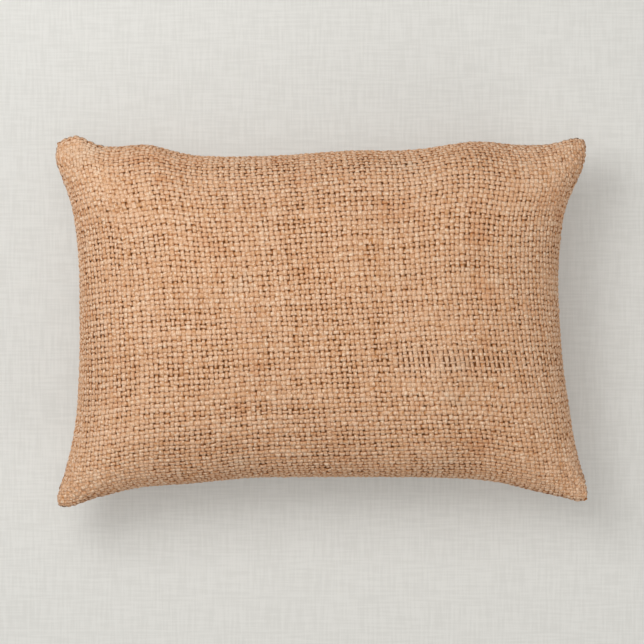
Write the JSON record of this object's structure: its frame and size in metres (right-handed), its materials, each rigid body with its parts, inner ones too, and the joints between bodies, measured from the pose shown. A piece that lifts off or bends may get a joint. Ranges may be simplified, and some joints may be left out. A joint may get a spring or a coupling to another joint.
{
  "type": "ring bearer pillow",
  "caption": "Small plain rectangular burlap pillow with soft rounded corner ears, a lined cover zipped across the lower back, and a stuffed insert.",
  "frame": {"origin": "middle of the pillow's footprint, on the surface it lies on", "axes": "+X along the width, +Y up the face towards the top edge, +Z out of the front face; the pillow lies on its back"},
  "size_m": [0.2503, 0.1751, 0.075],
  "materials": {
    "burlap": "coarse plain-woven jute, matte, slubby, warm tan with rust and cream threads",
    "lining": "plain brown cotton",
    "thread": "tan spun polyester sewing thread",
    "zip_tape": "beige herringbone-woven polyester tape",
    "zip_coil": "beige nylon coil",
    "antique_brass": "antique brass, worn at the edges",
    "insert_cloth": "unbleached cotton",
    "polyester_fibre": "loose white hollow fibre"
  },
  "bodies": {
    "cover": {"front_panel": "burlap", "back_panel": "burlap", "back_strip": "burlap", "front_lining": "lining", "back_lining": "lining", "strip_lining": "lining", "edge_seam_thread": "thread", "back_seam_thread_left": "thread", "back_seam_thread_right": "thread", "zip_topstitch_upper": "thread", "zip_topstitch_lower": "thread", "zip_bar_tack_left": "thread", "zip_bar_tack_right": "thread", "zip_tape_upper": "zip_tape", "zip_tape_lower": "zip_tape", "zip_coil_upper": "zip_coil", "zip_coil_lower": "zip_coil", "zip_top_stop_upper": "antique_brass", "zip_top_stop_lower": "antique_brass", "zip_bottom_stop": "antique_brass", "insert_casing_front": "insert_cloth", "insert_casing_back": "insert_cloth", "insert_seam_thread": "insert_cloth", "insert_closing_thread": "insert_cloth", "insert_fill": "polyester_fibre"},
    "slider": {"zip_slider": "antique_brass"},
    "pull": {"zip_pull": "antique_brass"}
  },
  "joints": [
    {"name": "zip_slide", "type": "slide", "parent": "cover", "child": "slider", "axis": [-1, 0, 0], "range_m": [0, 0.1208], "deforming": ["zip_coil_upper", "zip_coil_lower"]},
    {"name": "pull_swing", "type": "hinge", "parent": "slider", "child": "pull", "pos_m": [0.0605, -0.06556, 0.01494], "axis": [0, -0.6974, 0.7167], "range_deg": [0, 175]}
  ]
}
